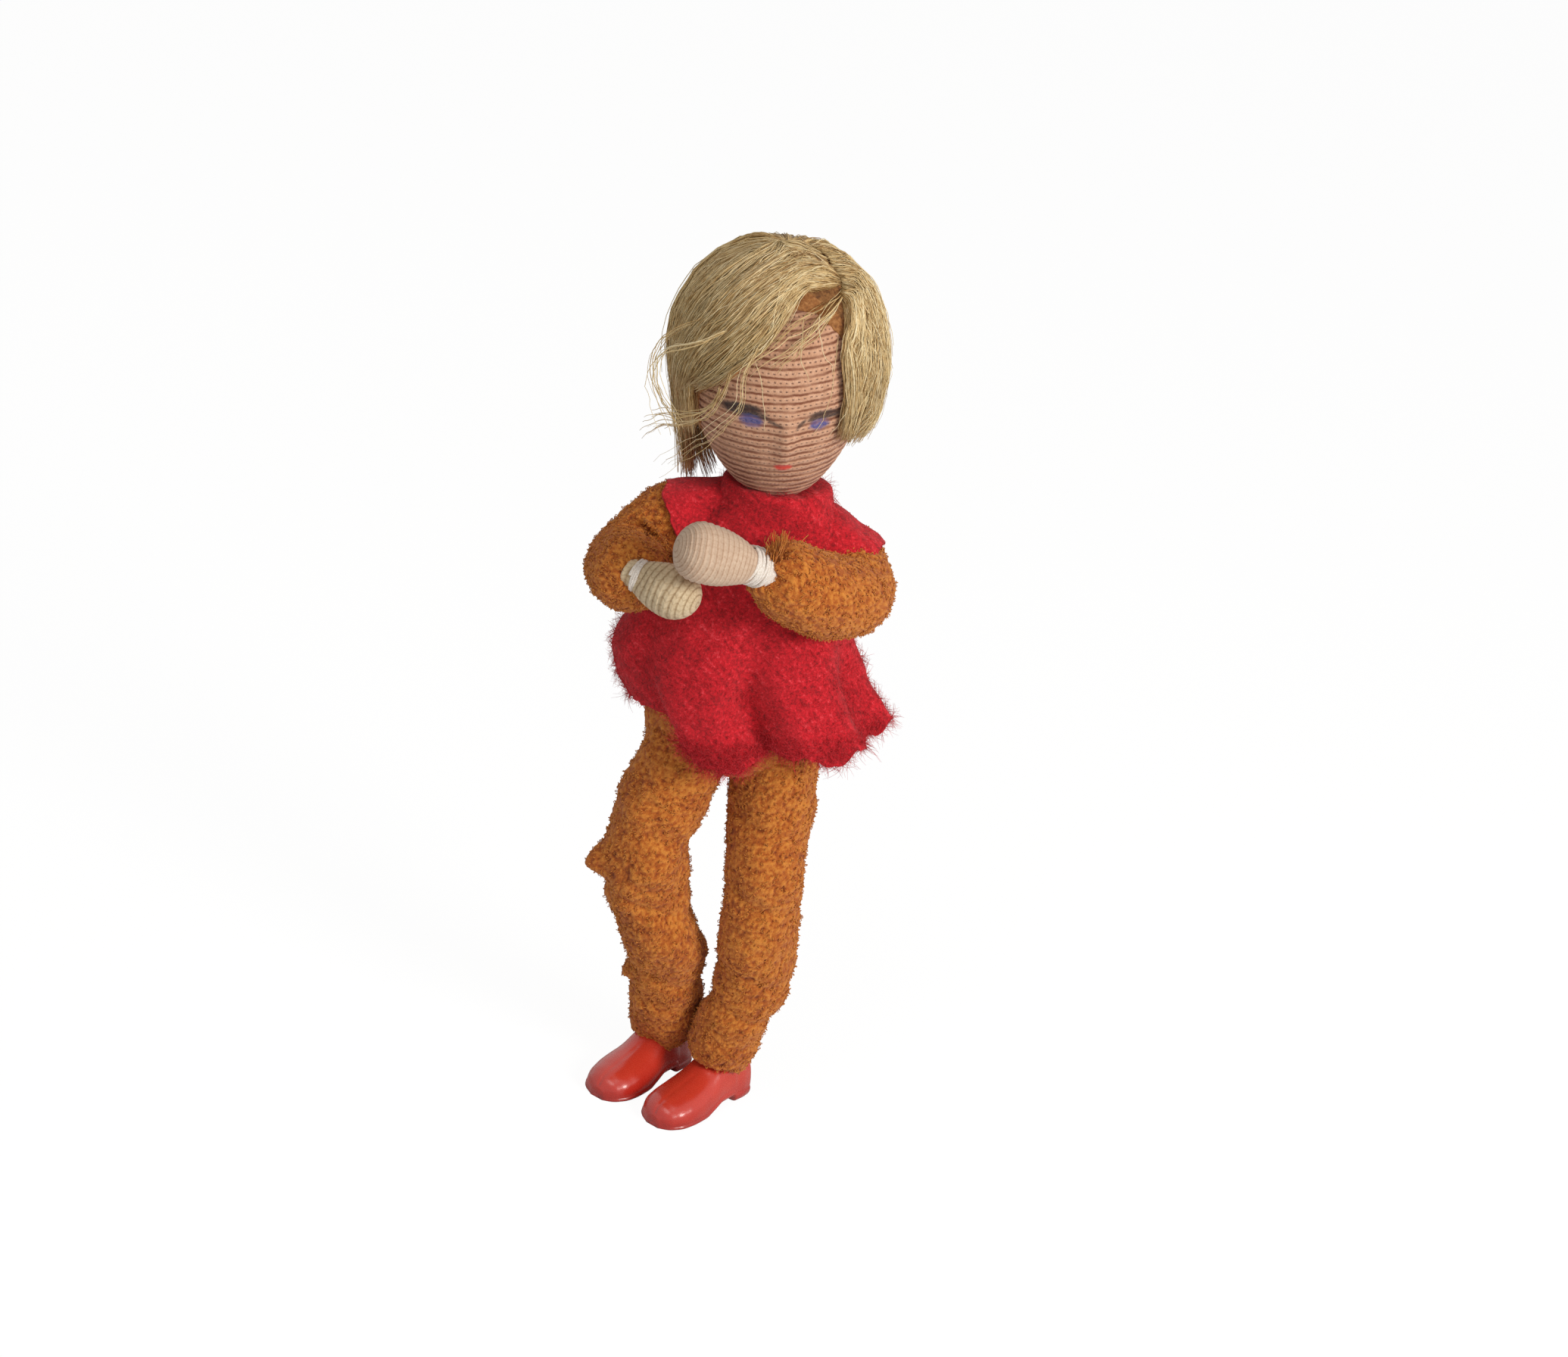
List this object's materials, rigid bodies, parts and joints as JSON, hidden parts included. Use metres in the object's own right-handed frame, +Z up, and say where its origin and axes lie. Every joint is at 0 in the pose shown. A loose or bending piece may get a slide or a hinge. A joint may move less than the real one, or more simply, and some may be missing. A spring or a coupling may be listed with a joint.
{
  "type": "bendy doll",
  "caption": "Bendy doll with crossed arms, blond hair, red wool tunic, mustard terry sleeves and trousers, knitted face and hands, and red vinyl shoes.",
  "frame": {"origin": "on the floor, under the middle of the whole doll as it stands with its arms crossed", "axes": "+Z up, the doll faces -Y, +X to the doll's left"},
  "size_m": [0.0364, 0.0298, 0.1077],
  "materials": {
    "wadding": "soft cotton wadding",
    "wire": "plain annealed wire",
    "terry": "mustard looped pile",
    "wool": "crimson brushed wool",
    "jersey": "peach stockinette with brown rows",
    "knit": "cream knitted yarn",
    "thread": "white cotton thread",
    "scalp": "orange-brown cap under the hair",
    "hair": "flaxen mohair",
    "vinyl": "glossy red vinyl"
  },
  "bodies": {
    "pelvis": {"pelvis_padding": "wadding", "hip_wire": "wire", "trousers_seat": "terry"},
    "chest": {"chest_padding": "wadding", "shoulder_wire": "wire", "dress": "wool", "neck_cover": "jersey"},
    "neck": {"neck_wire_bend": "wire"},
    "head": {"head_padding": "wadding", "head_wire": "wire", "face_cover": "jersey", "scalp_cap": "scalp", "hair_fringe": "hair", "hair_left": "hair", "hair_back": "hair"},
    "shoulder_right": {"shoulder_wire_bend_right": "wire"},
    "upper_arm_right": {"upper_arm_padding_right": "wadding", "upper_arm_wire_right": "wire", "sleeve_right": "terry"},
    "forearm_right": {"forearm_padding_right": "wadding", "forearm_wire_right": "wire"},
    "hand_right": {"hand_cover_right": "knit", "hand_padding_right": "wadding", "hand_wire_right": "wire", "wrist_tie_right": "thread"},
    "hip_right": {"hip_wire_bend_right": "wire"},
    "thigh_right": {"thigh_padding_right": "wadding", "thigh_wire_right": "wire", "trouser_leg_right": "terry"},
    "shin_right": {"shin_padding_right": "wadding", "shin_wire_right": "wire"},
    "foot_right": {"foot_padding_right": "wadding", "foot_wire_right": "wire", "shoe_right": "vinyl"},
    "shoulder_left": {"shoulder_wire_bend_left": "wire"},
    "upper_arm_left": {"upper_arm_padding_left": "wadding", "upper_arm_wire_left": "wire", "sleeve_left": "terry"},
    "forearm_left": {"forearm_padding_left": "wadding", "forearm_wire_left": "wire"},
    "hand_left": {"hand_cover_left": "knit", "hand_padding_left": "wadding", "hand_wire_left": "wire", "wrist_tie_left": "thread"},
    "hip_left": {"hip_wire_bend_left": "wire"},
    "thigh_left": {"thigh_padding_left": "wadding", "thigh_wire_left": "wire", "trouser_leg_left": "terry"},
    "shin_left": {"shin_padding_left": "wadding", "shin_wire_left": "wire"},
    "foot_left": {"foot_padding_left": "wadding", "foot_wire_left": "wire", "shoe_left": "vinyl"}
  },
  "joints": [
    {"name": "waist_bend", "type": "hinge", "parent": "pelvis", "child": "chest", "pos_m": [0.00059, 0.00349, 0.0595], "axis": [1, 0, 0], "range_deg": [-10, 30], "deforming": ["dress"]},
    {"name": "neck_nod", "type": "hinge", "parent": "chest", "child": "neck", "pos_m": [0.00139, 0.00379, 0.079], "axis": [1, 0, 0], "range_deg": [-12, 14], "deforming": ["neck_cover"]},
    {"name": "head_turn", "type": "hinge", "parent": "neck", "child": "head", "pos_m": [0.00139, 0.00379, 0.079], "axis": [0, 0, 1], "range_deg": [-35, 35]},
    {"name": "shoulder_open_right", "type": "hinge", "parent": "chest", "child": "shoulder_right", "pos_m": [-0.00926, 0.00349, 0.07165], "axis": [0, 0, -1], "range_deg": [0, 50]},
    {"name": "shoulder_lift_right", "type": "hinge", "parent": "shoulder_right", "child": "upper_arm_right", "pos_m": [-0.00926, 0.00349, 0.07165], "axis": [0.265, 0.9408, 0.2112], "range_deg": [-5, 35]},
    {"name": "elbow_right", "type": "hinge", "parent": "upper_arm_right", "child": "forearm_right", "pos_m": [-0.01273, 0.00018, 0.06884], "axis": [0.6317, -0.0039, -0.7752], "range_deg": [0, 70], "deforming": ["sleeve_right"]},
    {"name": "wrist_right", "type": "hinge", "parent": "forearm_right", "child": "hand_right", "pos_m": [-0.01216, -0.0068, 0.06934], "axis": [0.1221, 0.7018, -0.7018], "range_deg": [-10, 30]},
    {"name": "shoulder_open_left", "type": "hinge", "parent": "chest", "child": "shoulder_left", "pos_m": [0.01044, 0.00349, 0.06975], "axis": [0, 0, 1], "range_deg": [0, 70]},
    {"name": "shoulder_lift_left", "type": "hinge", "parent": "shoulder_left", "child": "upper_arm_left", "pos_m": [0.01044, 0.00349, 0.06975], "axis": [-0.6016, -0.7692, 0.2151], "range_deg": [-5, 35]},
    {"name": "elbow_left", "type": "hinge", "parent": "upper_arm_left", "child": "forearm_left", "pos_m": [0.01066, -0.0012, 0.0686], "axis": [0.5268, -0.1797, 0.8308], "range_deg": [0, 70], "deforming": ["sleeve_left"]},
    {"name": "wrist_left", "type": "hinge", "parent": "forearm_left", "child": "hand_left", "pos_m": [0.00034, -0.00943, 0.07336], "axis": [-0.0792, 0.7049, 0.7049], "range_deg": [-10, 30]},
    {"name": "hip_swing_right", "type": "hinge", "parent": "pelvis", "child": "hip_right", "pos_m": [-0.00416, 0.00349, 0.047], "axis": [-0.8211, 0.5708, 0], "range_deg": [-12, 75], "deforming": ["trousers_seat"]},
    {"name": "hip_splay_right", "type": "hinge", "parent": "hip_right", "child": "thigh_right", "pos_m": [-0.00416, 0.00349, 0.047], "axis": [0, 1, 0], "range_deg": [0, 25]},
    {"name": "knee_right", "type": "hinge", "parent": "thigh_right", "child": "shin_right", "pos_m": [-0.00756, 0.00069, 0.0306], "axis": [0.8211, -0.5708, 0], "range_deg": [0, 90], "deforming": ["trouser_leg_right"]},
    {"name": "ankle_right", "type": "hinge", "parent": "shin_right", "child": "foot_right", "pos_m": [-0.00328, 0.00769, 0.007], "axis": [0.8211, -0.5708, 0], "range_deg": [-20, 20]},
    {"name": "hip_swing_left", "type": "hinge", "parent": "pelvis", "child": "hip_left", "pos_m": [0.00574, 0.00349, 0.047], "axis": [-1, 0, 0], "range_deg": [0, 75]},
    {"name": "hip_splay_left", "type": "hinge", "parent": "hip_left", "child": "thigh_left", "pos_m": [0.00574, 0.00349, 0.047], "axis": [0, -1, 0], "range_deg": [0, 25]},
    {"name": "knee_left", "type": "hinge", "parent": "thigh_left", "child": "shin_left", "pos_m": [0.00634, 0.00049, 0.029], "axis": [0.8, -0.6, 0], "range_deg": [0, 90], "deforming": ["trouser_leg_left"]},
    {"name": "ankle_left", "type": "hinge", "parent": "shin_left", "child": "foot_left", "pos_m": [0.00414, 0.00289, 0.007], "axis": [0.8, -0.6, 0], "range_deg": [-20, 20]}
  ]
}
